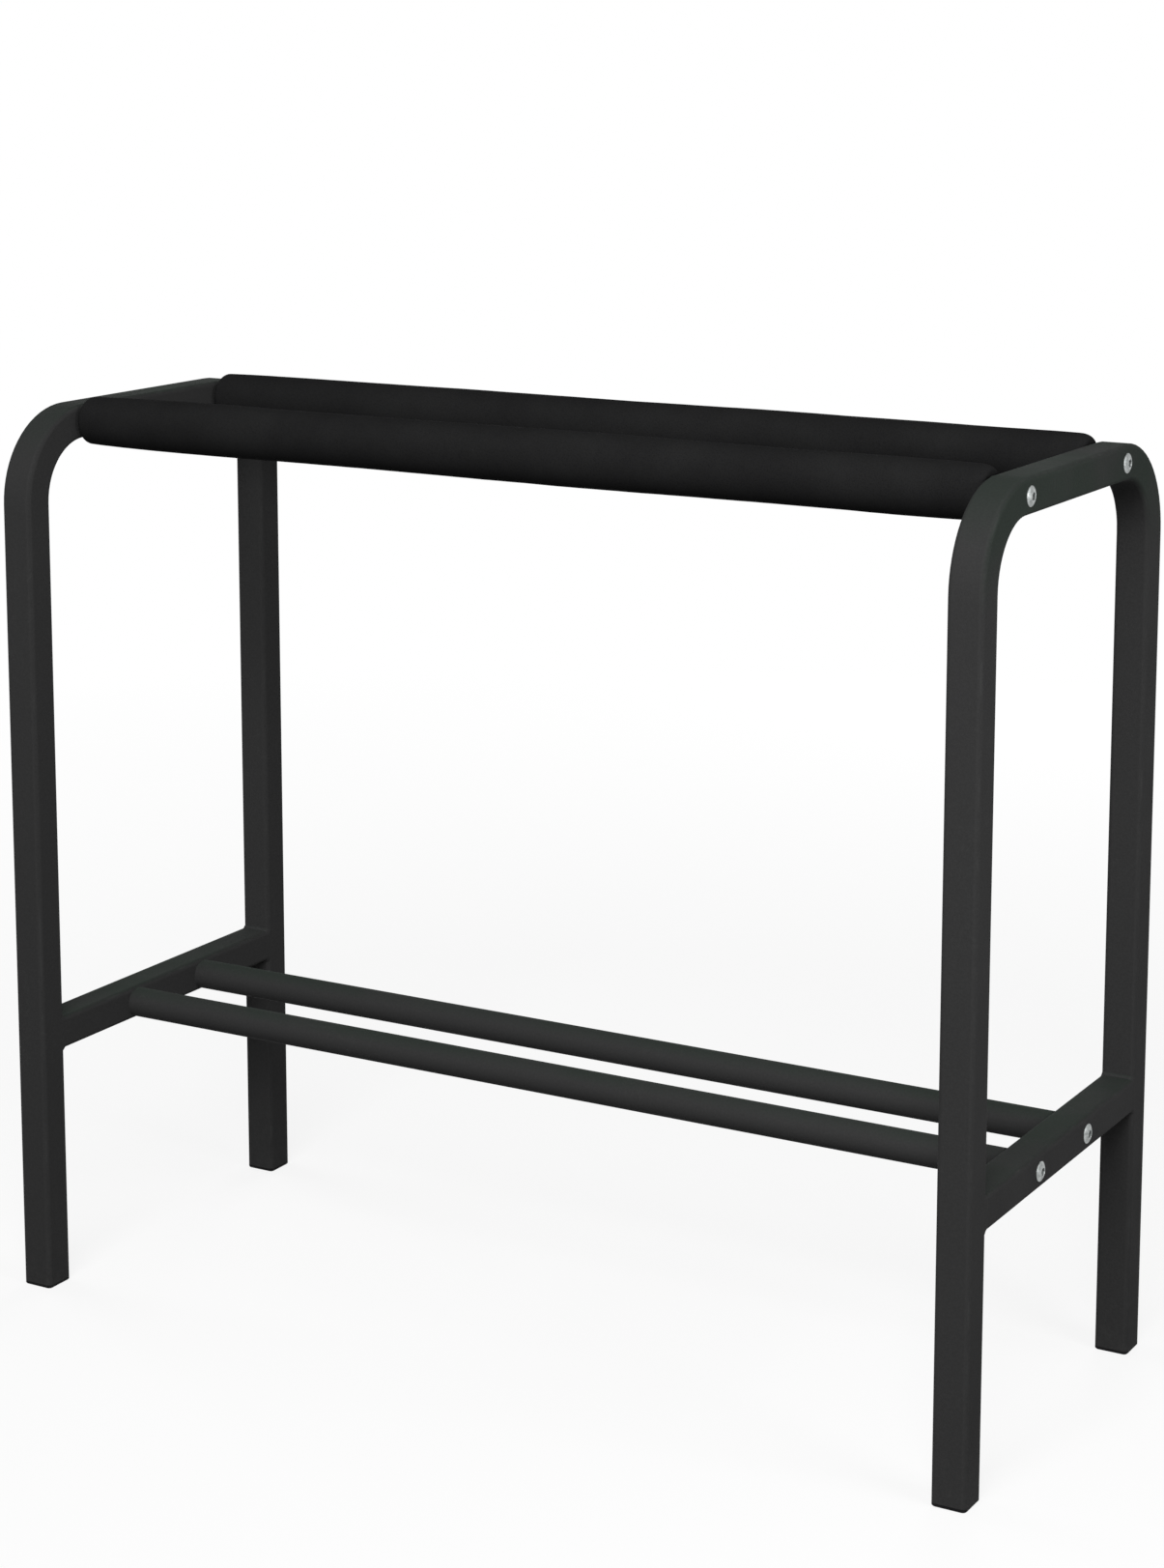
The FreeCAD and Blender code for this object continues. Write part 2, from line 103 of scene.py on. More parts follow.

# Where marks, painted shade and the painted green reflection are. Levels are heights above the floor,
# and the bolt's are from under its head.
COAT_GREEN_REFLECTION_LEVELS = (0.470, 0.510)
COAT_DUST_LEVEL = 0.045
CAP_SCUFF_LEVEL = 1.2 * MM
ZINC_RING_PITCH = 0.22 * MM
ZINC_SOCKET_RADII = (2.1 * MM, 2.6 * MM)
ZINC_SOCKET_LEVELS = (1.1 * MM, 1.9 * MM)
ZINC_RIM_LEVEL = 0.35 * MM
ZINC_RIM_PAINTED_SHADE = 0.8

FLOOR_RADIUS = 9.0
FLOOR_SIDES = 64
FLOOR_DROP = 0.1 * MM
FLOOR_FADE = (0.75, 1.9)
FLOOR_GLOW = 0.82
SKY_FILL = 0.10
AIM = (0.0, 0.0, 0.27)


class Graph:
    """The nodes of a material or a world. A value that is a socket is linked, and any other is set."""

    def __init__(self, owner):
        self.owner = owner
        owner.use_nodes = True
        self.tree = owner.node_tree
        self.tree.nodes.clear()

    def add(self, kind, inputs=None, **settings):
        node = self.tree.nodes.new("ShaderNode" + kind)
        for key, value in settings.items():
            setattr(node, key, value)
        for key, value in (inputs or {}).items():
            socket = node.inputs[key]
            if isinstance(value, bpy.types.NodeSocket):
                self.tree.links.new(value, socket)
            elif socket.type == "RGBA" and len(value) == 3:
                socket.default_value = (*value, 1.0)
            else:
                socket.default_value = value
        return node

    def maths(self, operation, first, second=0.0):
        node = self.add("Math", {0: first, 1: second}, operation=operation)
        return node.outputs[0]

    def times(self, first, second):
        return self.maths("MULTIPLY", first, second)

    def remap(self, value, low, high, to_low=0.0, to_high=1.0):
        inputs = {"Value": value, "From Min": low, "From Max": high}
        inputs |= {"To Min": to_low, "To Max": to_high}
        return self.add("MapRange", inputs, clamp=True).outputs["Result"]

    def seen_rays(self):
        """1 for what the camera sees, straight or in metal or glass, and 0 for light on things."""
        path = self.add("LightPath").outputs
        seen = self.maths("MAXIMUM", path["Is Camera Ray"], path["Is Glossy Ray"])
        return self.maths("MAXIMUM", seen, path["Is Transmission Ray"])


class Surface(Graph):
    """The nodes of one material, with the point on the object and the way it faces."""

    def __init__(self, name):
        super().__init__(bpy.data.materials.new(name))
        own = self.add("TexCoord").outputs
        self.place = own["Object"]
        self.facing = own["Normal"]

    def parts(self, vector):
        """The x, y and z of a vector."""
        return self.add("SeparateXYZ", {0: vector}).outputs

    def length(self, vector):
        return self.add("VectorMath", {0: vector}, operation="LENGTH").outputs["Value"]

    def mix(self, share, first, second):
        node = self.add("Mix", {0: share, 6: first, 7: second}, data_type="RGBA")
        return node.outputs[2]

    def scaled(self, colour, by):
        return self.add("VectorMath", {0: colour, 3: by}, operation="SCALE").outputs[0]

    def stretched(self, *by):
        return self.add("Mapping", {"Vector": self.place, "Scale": by}).outputs[0]

    def noise(self, size, detail=2.0, rough=0.5, bend=0.0, where=None):
        """Soft random cells of about that size, in metres."""
        inputs = {"Vector": where or self.place, "Scale": 1.0 / size, "Detail": detail}
        inputs |= {"Roughness": rough, "Distortion": bend}
        return self.add("TexNoise", inputs).outputs[0]

    def pores(self, size):
        """Distance to the nearest of random points of about that spacing, in metres."""
        inputs = {"Vector": self.place, "Scale": 1.0 / size}
        return self.add("TexVoronoi", inputs).outputs["Distance"]

    def bump(self, height, depth, strength, under=None):
        inputs = {"Height": height, "Distance": depth, "Strength": strength}
        if under:
            inputs["Normal"] = under
        return self.add("Bump", inputs).outputs["Normal"]

    def finish(self, shader):
        output = self.add("OutputMaterial", {"Surface": shader})
        output.is_active_output = True
        return self.owner

    def principled(self, colour, roughness, normal, **fixed):
        """The shader. What is the same all over the surface comes in by name and is set on it."""
        inputs = {"Base Color": colour, "Roughness": roughness, "Normal": normal}
        inputs |= {key.replace("_", " "): value for key, value in fixed.items()}
        return self.finish(self.add("BsdfPrincipled", inputs).outputs[0])


def powder_coat():
    """Black powder coat with orange peel: a faint painted green reflection where it faces up, or
    outwards at the top, painted shade on rounded corners with a little wear, thin scuffs, and dust near
    the floor."""
    g = Surface("powder_coat_black")
    across, _, height = g.parts(g.place)
    facing = g.parts(g.facing)
    # Painted green reflection: a green tint on faces that point up, and on outer faces near the top.
    outward = g.times(g.maths("SIGN", across), facing[0])
    outward = g.times(g.remap(height, *COAT_GREEN_REFLECTION_LEVELS), outward)
    upward = g.remap(facing[2], 0.45, 0.95, to_high=0.9)
    green_reflection = g.maths("MAXIMUM", outward, upward)
    patches = g.remap(g.noise(60 * MM, detail=3.0, rough=0.55), 0.36, 0.58, to_low=0.40)
    colour = g.mix(g.times(green_reflection, patches), COAT_NEUTRAL, COAT_GREEN_REFLECTION)

    # 0 on the flat faces, and 0.25 in the middle of a rounded corner.
    flat = g.times(facing[0], facing[0])
    corner = g.times(flat, g.maths("SUBTRACT", 1.0, flat))
    # Painted shade: rounded corners are made darker.
    painted_shade = g.remap(corner, 0.05, 0.25, to_low=1.0, to_high=COAT_CORNER_PAINTED_SHADE)
    grain = g.remap(g.noise(1.1 * MM), 0.30, 0.70, to_low=0.94, to_high=1.06)
    colour = g.scaled(colour, g.times(grain, painted_shade))
    rubbed = g.remap(g.noise(24 * MM, detail=5.0, rough=0.62), 0.50, 0.66)
    wear = g.times(g.remap(corner, 0.16, 0.25), rubbed)
    colour = g.mix(g.times(wear, COAT_WEAR_SHARE), colour, COAT_WORN)

    low = g.remap(height, 0.0, COAT_DUST_LEVEL, to_low=1.0, to_high=0.0)
    dust = g.times(low, g.remap(g.noise(6 * MM, detail=4.0, rough=0.6), 0.45, 0.75))
    colour = g.mix(g.times(dust, COAT_DUST_SHARE), colour, COAT_DUST)

    # Thin lines where a bent noise crosses its middle value, kept to some areas.
    rubs = g.noise(35 * MM, detail=4.0, rough=0.7, bend=1.4)
    rubs = g.maths("ABSOLUTE", g.maths("SUBTRACT", rubs, 0.5))
    scuff = g.remap(rubs, 0.0, 0.012, to_low=1.0, to_high=0.0)
    scuff = g.times(scuff, g.remap(g.noise(70 * MM), 0.52, 0.64))
    colour = g.mix(g.times(scuff, COAT_SCUFF_SHARE), colour, COAT_WORN)

    roughness = g.remap(g.noise(50 * MM, detail=3.0), 0.3, 0.7, *COAT_ROUGHNESS)
    roughness = g.maths("SUBTRACT", roughness, g.times(wear, COAT_WEAR_POLISH))
    peel = g.bump(g.noise(2.4 * MM, detail=1.5), depth=0.16 * MM, strength=0.55)
    normal = g.bump(g.noise(0.45 * MM), depth=0.03 * MM, strength=0.50, under=peel)
    return g.principled(colour, roughness, normal, Specular_IOR_Level=0.018)


def sleeve_foam():
    """Matt black closed-cell foam: fine pores with painted shade in them, soft patches, painted shade on
    the underside and a little lint.
    """
    g = Surface("sleeve_foam_black")
    patches = g.noise(45 * MM, detail=4.0, rough=0.6)
    colour = g.mix(g.remap(patches, 0.35, 0.65), FOAM_DARK, FOAM_LIGHT)
    coarse = g.remap(g.pores(0.9 * MM), 0.05, 0.45)
    fine = g.remap(g.pores(0.42 * MM), 0.0, 0.35, to_low=0.6)
    pits = g.times(coarse, fine)
    # Painted shade: the colour is darker in the pores.
    painted_shade = g.remap(pits, 0.0, 1.0, to_low=0.72, to_high=1.06)
    # Painted shade: the underside is made darker.
    under = g.remap(g.parts(g.facing)[2], -0.5, 0.5, to_low=FOAM_UNDERSIDE_PAINTED_SHADE)
    colour = g.scaled(colour, g.times(painted_shade, under))
    lint = g.remap(g.noise(1.6 * MM, detail=3.0, rough=0.7), 0.70, 0.76)
    colour = g.mix(g.times(lint, FOAM_LINT_SHARE), colour, FOAM_LINT)
    roughness = g.remap(g.noise(20 * MM, detail=3.0), 0.3, 0.7, *FOAM_ROUGHNESS)
    dents = g.noise(12 * MM, detail=3.0, rough=0.55)
    dents = g.bump(dents, depth=0.6 * MM, strength=0.35)
    normal = g.bump(pits, depth=0.12 * MM, strength=0.60, under=dents)
    return g.principled(colour, roughness, normal, Specular_IOR_Level=0.005)


def bright_zinc():
    """Bright zinc on a turned bolt: faint rings about its axis, mottling, painted shade in the socket
    and at the foot of the head's rim.
    """
    g = Surface("bolt_bright_zinc")
    apart = g.add("ObjectInfo").outputs["Random"]
    own = g.add("VectorMath", {0: g.place, 1: apart}, operation="ADD").outputs[0]
    mottle = g.noise(2.4 * MM, detail=5.0, rough=0.62, bend=0.4, where=own)
    colour = g.mix(g.remap(mottle, 0.36, 0.64), ZINC_DARK, ZINC_LIGHT)
    level, y, z = g.parts(g.place)
    radius = g.length(g.add("CombineXYZ", {1: y, 2: z}).outputs[0])
    rings = g.maths("SINE", g.times(radius, 2 * math.pi / ZINC_RING_PITCH))
    colour = g.scaled(colour, g.remap(rings, -1.0, 1.0, to_low=0.94, to_high=1.04))
    # Painted shade: darker deep in the hex socket and at the foot of the head's rim, against the frame.
    inner = g.remap(radius, *ZINC_SOCKET_RADII, to_low=1.0, to_high=0.0)
    deep = g.remap(level, *ZINC_SOCKET_LEVELS, to_low=1.0, to_high=0.0)
    rim = g.remap(level, 0.0, ZINC_RIM_LEVEL, to_low=ZINC_RIM_PAINTED_SHADE, to_high=0.0)
    painted_socket_rim_shade = g.maths("MAXIMUM", g.times(inner, deep), rim)
    colour = g.mix(g.times(painted_socket_rim_shade, ZINC_PAINTED_SHADE_SHARE), colour, ZINC_PAINTED_SHADE)
    roughness = g.noise(1.5 * MM, detail=4.0, rough=0.6, where=own)
    roughness = g.remap(roughness, 0.3, 0.7, *ZINC_ROUGHNESS)
    pits = g.noise(0.9 * MM, detail=3.0, rough=0.6, where=own)
    normal = g.bump(pits, depth=0.03 * MM, strength=0.45)
    return g.principled(colour, roughness, normal, Metallic=1.0)


def yellow_zinc():
    """Yellow zinc on the drawn steel of the inserts: marks along the bar and cloudy oxide."""
    g = Surface("insert_yellow_zinc")
    streaks = g.noise(1.2 * MM, detail=3.0, rough=0.6, where=g.stretched(0.2, 1.0, 1.0))
    clouds = g.noise(18 * MM, detail=4.0, rough=0.6)
    share = g.maths("ADD", g.times(streaks, 0.6), g.times(clouds, 0.4))
    colour = g.mix(g.remap(share, 0.36, 0.62), INSERT_DARK, INSERT_LIGHT)
    roughness = g.remap(clouds, 0.3, 0.7, *INSERT_ROUGHNESS)
    normal = g.bump(streaks, depth=0.03 * MM, strength=0.4)
    return g.principled(colour, roughness, normal, Metallic=1.0)


def cap_plastic():
    """Matt moulded polyethylene: spark-eroded grain, and scuffs under the flange."""
    g = Surface("foot_cap_black")
    colour = g.mix(g.remap(g.noise(8 * MM, detail=3.0), 0.35, 0.65), CAP_BLACK, CAP_GREY)
    low = g.remap(g.parts(g.place)[2], 0.0, CAP_SCUFF_LEVEL, to_low=1.0, to_high=0.0)
    streaks = g.stretched(1.0, 0.25, 1.0)
    scuffs = g.noise(1.8 * MM, detail=4.0, rough=0.65, bend=0.6, where=streaks)
    scuffs = g.times(low, g.remap(scuffs, 0.52, 0.66))
    colour = g.mix(g.times(scuffs, CAP_SCUFF_SHARE), colour, CAP_SCUFF)
    roughness = g.remap(g.noise(3 * MM, detail=3.0), 0.3, 0.7, *CAP_ROUGHNESS)
    normal = g.bump(g.noise(0.4 * MM), depth=0.04 * MM, strength=0.6)
    return g.principled(colour, roughness, normal, Specular_IOR_Level=0.06)


def pale_floor():
    """A pale floor that keeps a soft shadow near the object and turns white further off."""
    g = Surface("floor_pale")
    lit = g.add("BsdfDiffuse", {"Color": FLOOR_PALE}).outputs[0]
    white = g.add("Emission", {"Color": WHITE, "Strength": 1.0}).outputs[0]
    share = g.remap(g.length(g.place), *FLOOR_FADE, to_low=FLOOR_GLOW)
    shown = g.add("MixShader", {0: share, 1: lit, 2: white}).outputs[0]
    plain = g.add("BsdfDiffuse", {"Color": FLOOR_BOUNCE}).outputs[0]
    upper = g.add("MixShader", {0: g.seen_rays(), 1: plain, 2: shown}).outputs[0]
    clear = g.add("BsdfTransparent").outputs[0]
    below = g.add("NewGeometry").outputs["Backfacing"]
    return g.finish(g.add("MixShader", {0: below, 1: upper, 2: clear}).outputs[0])


def grid_mesh(name, rings, loop=False, caps=()):
    """A mesh from closed rings of points, each joined to the next. caps holds the numbers of the
    rings to fill."""
    count = len(rings[0])
    points = [point for ring in rings for point in ring]
    faces = []
    for i in range(len(rings) if loop else len(rings) - 1):
        here = i * count
        there = (i + 1) % len(rings) * count
        for j in range(count):
            k = (j + 1) % count
            faces.append((here + j, here + k, there + k, there + j))
    for ring in caps:
        order = range(count) if ring else reversed(range(count))
        faces.append(tuple(ring * count + j for j in order))
    mesh = bpy.data.meshes.new(name)
    mesh.from_pydata(points, [], faces)
    mesh.validate()
    mesh.update()
    return mesh


def settle(mesh, place, turn=0.0):
    """Turns a mesh about the upright axis and moves it, so its points are in the part's frame."""
    mesh.transform(Matrix.Translation(place) @ Matrix.Rotation(turn, 4, "Z"))
    return mesh


SMOOTH_ANGLE = 35.0


def add_piece(name, mesh, slot, replaced, smooth_angle=SMOOTH_ANGLE):
    """Puts a mesh in the scene on the part's body, in place of the named node."""
    mesh.shade_smooth()
    mesh.set_sharp_from_angle(angle=math.radians(smooth_angle))
    piece = bpy.data.objects.new(name, mesh)
    bpy.context.scene.collection.objects.link(piece)
    if not mesh.materials:
        mesh.materials.append(finishes[slot])
    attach(piece, ROOT)
    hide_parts(replaced)
    return piece


SLEEVE_SIDES = 96
SLEEVE_STEP = 3.0 * MM
SLEEVE_BORE = 9.1 * MM
SLEEVE_BORE_STOPS = (1.0, 0.5, 0.0, -0.5, -1.0)
SLEEVE_EDGE = 3.2 * MM
SLEEVE_EDGE_REACH = {"left": 3.2 * MM, "right": 6.8 * MM}
SLEEVE_EDGE_STEPS = 9
SLEEVE_SWELL = 0.75 * MM
SLEEVE_SWELL_SIZE = 140.0 * MM
SLEEVE_SWELL_SHIFT = 3.1
SLEEVE_WAVE = 0.16 * MM
SLEEVE_WAVE_SIZE = 42.0 * MM
SLEEVE_WAVE_ROUND = 0.5
SLEEVE_DIMPLE = 0.05 * MM
SLEEVE_DIMPLE_SIZE = 9.0 * MM
SLEEVE_NECK = {"left": 0.95 * MM, "right": 0.55 * MM}
SLEEVE_NECK_REACH = 26.0 * MM


def sleeve_edge(reach, radius):
    """(distance from the end, radius) round an outer edge, from the sleeve's end face inwards."""
    points = []
    for step in range(SLEEVE_EDGE_STEPS + 1):
        angle = math.pi / 2 * (1 - step / SLEEVE_EDGE_STEPS)
        across = radius - SLEEVE_EDGE * (1 - math.cos(angle))
        points.append((reach * (1 - math.sin(angle)), across))
    return points


def sleeve_profile(half, radius):
    """(place along the bar, radius) points round the sleeve's wall: the soft outside from the left
    end to the right, and the plain bore from the right end back to the left."""
    left, right = SLEEVE_EDGE_REACH["left"], SLEEVE_EDGE_REACH["right"]
    soft = [(-half + along, r) for along, r in sleeve_edge(left, radius)]
    length = half * 2 - left - right
    steps = round(length / SLEEVE_STEP)
    soft += [(-half + left + length * i / steps, radius) for i in range(1, steps)]
    soft += [(half - along, r) for along, r in reversed(sleeve_edge(right, radius))]
    bore = [(half * stop, SLEEVE_BORE) for stop in SLEEVE_BORE_STOPS]
    return soft, bore


def soft_radius(along, angle, radius, half, seed):
    """The sleeve's radius at a point, with the swells and dimples of hand-fitted foam."""
    y, z = math.cos(angle), math.sin(angle)
    swell = Vector((along / SLEEVE_SWELL_SIZE, seed * SLEEVE_SWELL_SHIFT, 0.0))
    wave = Vector((along / SLEEVE_WAVE_SIZE, y * SLEEVE_WAVE_ROUND, z * SLEEVE_WAVE_ROUND + seed))
    dimple = Vector((along, y * radius, z * radius)) / SLEEVE_DIMPLE_SIZE
    dimple += Vector((0.0, 0.0, seed))
    offset = SLEEVE_SWELL * noise.noise(swell)
    offset += SLEEVE_WAVE * noise.noise(wave) + SLEEVE_DIMPLE * noise.noise(dimple)
    neck = SLEEVE_NECK["left" if along < 0 else "right"]
    return radius + offset - neck * math.exp(-(half - abs(along)) / SLEEVE_NECK_REACH)


def build_sleeve(node, seed):
    """A foam sleeve in place of its plain solid."""
    low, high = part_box(node)
    half = (high.x - low.x) / 2
    soft, bore = sleeve_profile(half, (high.y - low.y) / 2)
    angles = [2 * math.pi * j / SLEEVE_SIDES for j in range(SLEEVE_SIDES)]
    rings = []
    for along, radius in soft:
        reach = [soft_radius(along, a, radius, half, seed) for a in angles]
        rings.append([(along, math.cos(a) * r, math.sin(a) * r) for a, r in zip(angles, reach)])
    for along, radius in bore:
        rings.append([(along, math.cos(a) * radius, math.sin(a) * radius) for a in angles])
    mesh = settle(grid_mesh(node + "_foam", rings, loop=True), (low + high) / 2)
    piece = add_piece(node + "_foam", mesh, "sleeve_foam", node)


BOLT_SIDES = 96
BOLT_HEAD = 5.5 * MM
BOLT_SHANK = 3.0 * MM
BOLT_RIM = 0.6 * MM
BOLT_RIM_BEVEL = 0.2
BOLT_CROWN = 2.2 * MM
BOLT_DOME_STEPS = 12
BOLT_REACH = 35.0 * MM
BOLT_TIP = 0.8 * MM
BOLT_TWIST = 0.37
SOCKET_HALF = 2.0 * MM
SOCKET_DEPTH = 1.8 * MM
SOCKET_MOUTH = 0.22 * MM
SOCKET_MOUTH_MARGIN = 1.5
SOCKET_CONE = 0.3 * MM
SOCKET_CONE_TIP = 0.1
THREAD_PITCH = 1.0 * MM
THREAD_DEPTH = 0.30 * MM
THREAD_FROM = 20.0 * MM
THREAD_STEP = 0.25 * MM


def dome_height(radius):
    """Height of the bolt's dome above the underside of its head, at a distance from its axis."""
    rise = BOLT_CROWN - BOLT_RIM
    ball = (BOLT_HEAD ** 2 + rise ** 2) / (2 * rise)
    return BOLT_CROWN - ball + math.sqrt(ball ** 2 - radius ** 2)


def hexagon(angle, apothem):
    """Distance from the centre to a hexagon's side, in a direction."""
    side = (angle + math.pi / 6) % (math.pi / 3) - math.pi / 6
    return apothem / math.cos(side)


def thread_radius(along, angle):
    """The shank's radius: plain under the head, and a thread further in."""
    if along > -THREAD_FROM:
        return BOLT_SHANK
    turn = (along / THREAD_PITCH + angle / (2 * math.pi)) % 1.0
    depth = abs(turn - 0.5) * 2
    into = min(1.0, (-THREAD_FROM - along) / THREAD_PITCH)
    return BOLT_SHANK - THREAD_DEPTH * depth * into


def bolt_mesh():
    """A domed socket bolt that faces +X, with its origin under the head."""
    angles = [2 * math.pi * j / BOLT_SIDES for j in range(BOLT_SIDES)]

    def ring(along, radius):
        """A ring of points. Each value is a number, or a function of the angle about the axis."""
        x = along if callable(along) else lambda angle: along
        r = radius if callable(radius) else lambda angle: radius
        return [(x(a), math.cos(a) * r(a), math.sin(a) * r(a)) for a in angles]

    rings = [ring(-BOLT_REACH, BOLT_SHANK - BOLT_TIP)]
    length = BOLT_REACH - BOLT_TIP
    steps = round(length / THREAD_STEP)
    for i in range(steps + 1):
        along = -length * (1 - i / steps)
        rings.append(ring(along, lambda a, x=along: thread_radius(x, a)))
    bevel = BOLT_RIM * BOLT_RIM_BEVEL
    rings.append(ring(0.0, BOLT_HEAD - bevel))
    rings.append(ring(bevel, BOLT_HEAD))
    rings.append(ring(BOLT_RIM * (1 - BOLT_RIM_BEVEL), BOLT_HEAD))
    mouth = SOCKET_HALF / math.cos(math.pi / 6) + SOCKET_MOUTH * SOCKET_MOUTH_MARGIN
    for i in range(1, BOLT_DOME_STEPS + 1):
        r = BOLT_HEAD + (mouth - BOLT_HEAD) * i / BOLT_DOME_STEPS
        rings.append(ring(dome_height(r), r))
    lip = SOCKET_HALF + SOCKET_MOUTH
    rings.append(ring(lambda a: dome_height(hexagon(a, lip)), lambda a: hexagon(a, lip)))
    throat = dome_height(SOCKET_HALF) - SOCKET_MOUTH
    floor = BOLT_CROWN - SOCKET_DEPTH
    for along in (throat, floor):
        rings.append(ring(along, lambda a: hexagon(a, SOCKET_HALF)))
    rings.append(ring(floor - SOCKET_CONE * (1 - SOCKET_CONE_TIP), SOCKET_HALF * SOCKET_CONE_TIP))
    return grid_mesh("domed_bolt", rings, caps=(0, len(rings) - 1))


def build_bolts():
    """The eight bolts share one mesh. Each is turned about its axis by its own amount."""
    mesh = bolt_mesh()
    for row, bar in enumerate(BARS):
        for side, turn in (("left", math.pi), ("right", 0.0)):
            node = f"{bar}_{side}_bolt"
            low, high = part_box(node)
            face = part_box(side + "_end_frame")[0 if side == "left" else 1].x
            piece = add_piece(node + "_zinc", mesh, "bolt_steel", node)
            piece.location = (face, (low.y + high.y) / 2, (low.z + high.z) / 2)
            piece.rotation_euler = (BOLT_TWIST * (row * 2 + (side == "left")), 0.0, turn)


WELD_LEG = 1.5 * MM
WELD_STEP = 0.35 * MM
WELD_STEPS_ACROSS = 7
WELD_CROWN = 0.24 * MM
WELD_FLUSH_CROWN = 0.05 * MM
WELD_LEAN = 0.8
WELD_RIPPLE = 1.5 * MM
WELD_RIPPLE_SHARE = 0.35
WELD_WANDER = 0.16 * MM
WELD_WANDER_SIZE = 3.0 * MM
WELD_SUNK_IN = 0.4 * MM
WELD_SUNK_BACK = 0.3 * MM
WELD_SEED_STEP = 7.3
WELD_SMOOTH_ANGLE = 50.0
TUBE_HALF = 10.0 * MM
TUBE_CORNER = 2.75 * MM


def square_outline(step):
    """Points (x, z), outward directions and run along a rounded square's outline."""
    flat = TUBE_HALF - TUBE_CORNER
    arc = math.pi / 2 * TUBE_CORNER
    side = 2 * flat + arc
    count = round(4 * side / step)
    found = []
    for i in range(count):
        run = 4 * side * i / count
        quarter, rest = divmod(run, side)
        if rest < 2 * flat:
            x, z, angle = TUBE_HALF, rest - flat, 0.0
        else:
            angle = (rest - 2 * flat) / TUBE_CORNER
            x = flat + TUBE_CORNER * math.cos(angle)
            z = flat + TUBE_CORNER * math.sin(angle)
        turn = quarter * math.pi / 2
        c, s = math.cos(turn), math.sin(turn)
        normal = (math.cos(angle + turn), math.sin(angle + turn))
        found.append(((x * c - z * s, x * s + z * c), normal, run))
    return found


def leg_face(x):
    """How far the leg's rounded face lies behind its flat, at a distance from its middle."""
    over = max(0.0, abs(x) - (TUBE_HALF - TUBE_CORNER))
    return -(TUBE_CORNER - math.sqrt(max(0.0, TUBE_CORNER ** 2 - over ** 2)))


def weld_mesh(name, seed):
    """A weld bead round a brace's end. +Y leads along the brace, and the leg's face is at y 0."""
    rings = []
    for (x, z), (nx, nz), run in square_outline(WELD_STEP):
        open_side = abs(nz)
        wander = noise.noise(Vector((run / WELD_WANDER_SIZE, seed, 0.0))) * WELD_WANDER
        toe_x = max(-TUBE_HALF, min(TUBE_HALF, x + nx * WELD_LEG))
        toe_z = z + nz * (WELD_LEG + wander * open_side)
        first = Vector((x, WELD_LEG + wander, z))
        last = Vector((toe_x, leg_face(toe_x), toe_z))
        out = Vector((nx, WELD_LEAN * open_side, nz)).normalized()
        beat = abs(math.sin(math.pi * run / WELD_RIPPLE + wander / MM))
        beat = 1 - WELD_RIPPLE_SHARE + WELD_RIPPLE_SHARE * beat
        crown = (WELD_FLUSH_CROWN + WELD_CROWN * open_side ** 2) * beat
        ring = []
        for k in range(WELD_STEPS_ACROSS + 1):
            t = k / WELD_STEPS_ACROSS
            ring.append(first.lerp(last, t) + out * crown * math.sin(math.pi * t))
        back = leg_face(x) - WELD_SUNK_BACK
        ring.append(Vector((x - nx * WELD_SUNK_IN, back, z - nz * WELD_SUNK_IN)))
        rings.append(ring)
    return grid_mesh(name, rings[::-1], loop=True)


def build_welds():
    """The bead at each end of each brace."""
    for i, (end, side) in enumerate(product(ROWS, SIDES)):
        node = f"{end}_{side}_weld"
        low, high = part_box(side + "_lower_brace")
        middle = (low + high) / 2
        y, turn = (low.y, 0.0) if end == "front" else (high.y, math.pi)
        mesh = weld_mesh(node + "_bead", i * WELD_SEED_STEP)
        settle(mesh, (middle.x, y, middle.z), turn)
        add_piece(node + "_bead", mesh, "powder_coat", node, WELD_SMOOTH_ANGLE)


def add_floor():
    ring = [2 * math.pi * i / FLOOR_SIDES for i in range(FLOOR_SIDES)]
    points = [(FLOOR_RADIUS * math.cos(a), FLOOR_RADIUS * math.sin(a), 0.0) for a in ring]
    mesh = bpy.data.meshes.new("floor")
    mesh.from_pydata(points, [], [tuple(range(FLOOR_SIDES))])
    mesh.materials.append(pale_floor())
    floor = bpy.data.objects.new("floor", mesh)
    floor.location.z = -FLOOR_DROP
    bpy.context.scene.collection.objects.link(floor)


def add_sky():
    """White where it is seen, and a low even fill where it lights the object."""
    g = Graph(bpy.data.worlds.new("studio"))
    strength = g.remap(g.seen_rays(), 0.0, 1.0, to_low=SKY_FILL)
    background = g.add("Background", {"Color": WHITE, "Strength": strength})
    g.add("OutputWorld", {"Surface": background.outputs[0]})
    bpy.context.scene.world = g.owner


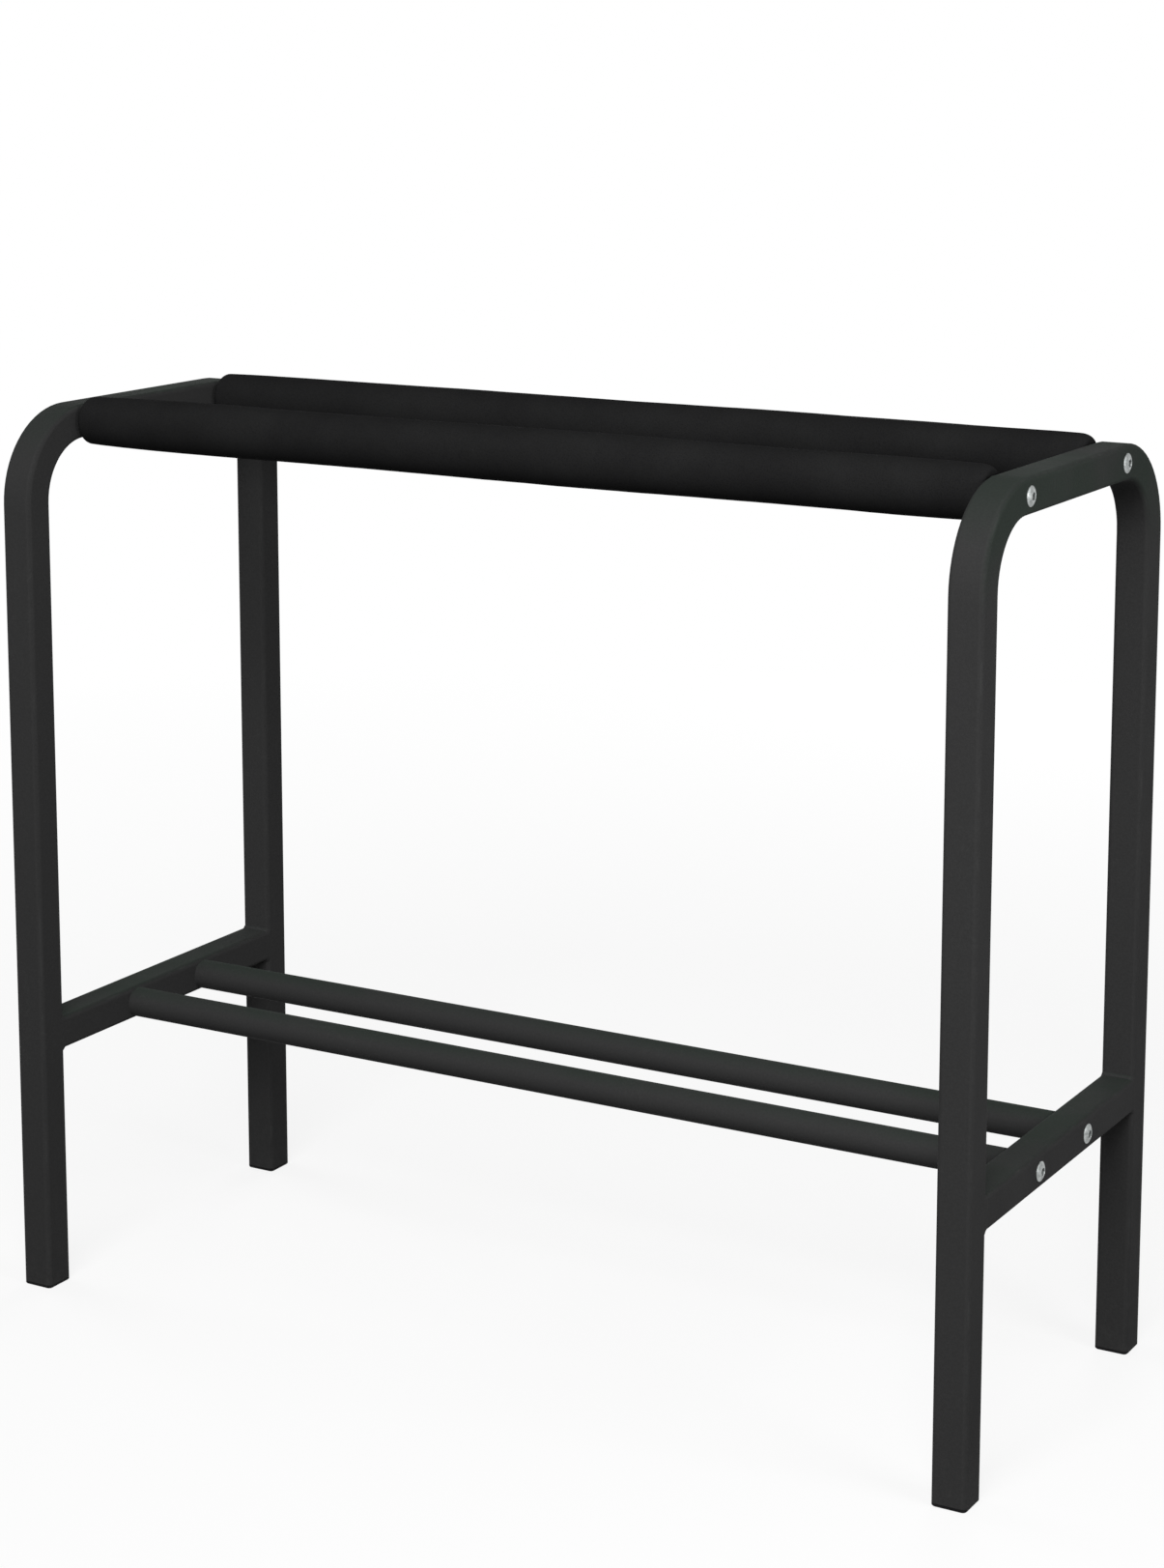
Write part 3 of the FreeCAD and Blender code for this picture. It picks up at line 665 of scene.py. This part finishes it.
def add_softbox(name, azimuth, elevation, distance, size, power, aim=AIM, glossy=True):
    """A square lamp that faces the object. Azimuth 0 is in front of it and 90 is on its right."""
    turn, tilt = math.radians(azimuth), math.radians(elevation)
    away = Vector((math.sin(turn) * math.cos(tilt), -math.cos(turn) * math.cos(tilt), math.sin(tilt)))
    lamp = bpy.data.lights.new(name, "AREA")
    lamp.shape = "SQUARE"
    lamp.size = size
    lamp.energy = power
    holder = bpy.data.objects.new(name, lamp)
    holder.location = Vector(aim) + away * distance
    holder.rotation_euler = away.to_track_quat("Z", "Y").to_euler()
    holder.visible_camera = False
    holder.visible_glossy = glossy
    bpy.context.scene.collection.objects.link(holder)


def add_camera():
    data = bpy.data.cameras.new("camera")
    data.sensor_width = SENSOR
    data.lens = CAMERA_FOCUS * SENSOR / PHOTO_LONG_SIDE
    data.shift_y = CAMERA_SHIFT
    data.clip_start, data.clip_end = CAMERA_CLIP
    camera = bpy.data.objects.new("camera", data)
    camera.location = CAMERA_PLACE
    camera.rotation_euler = (math.radians(90 - CAMERA_PITCH), 0.0, math.radians(CAMERA_TURN))
    bpy.context.scene.collection.objects.link(camera)
    bpy.context.scene.camera = camera


add_camera()
bpy.context.scene.view_settings.view_transform = "Standard"
add_sky()
add_floor()
add_softbox("key", azimuth=17.0, elevation=34.0, distance=2.3, size=1.4, power=50.0)
add_softbox("side", azimuth=76.0, elevation=22.0, distance=1.0, size=0.5, power=5.4, aim=(0.3, 0.0, 0.3))
for name, azimuth in (("back", 190.0), ("left", 264.0)):
    add_softbox(name, azimuth, elevation=8.0, distance=2.3, size=1.2, power=24.0, glossy=False)

finishes = {
    "powder_coat": powder_coat(),
    "sleeve_foam": sleeve_foam(),
    "bolt_steel": bright_zinc(),
    "insert_steel": yellow_zinc(),
    "cap_plastic": cap_plastic(),
}
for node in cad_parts.values():
    for place in node.material_slots:
        place.material = finishes[place.material.name]

build_sleeve("front_top_sleeve", seed=1.7)
build_sleeve("rear_top_sleeve", seed=5.2)
build_bolts()
build_welds()
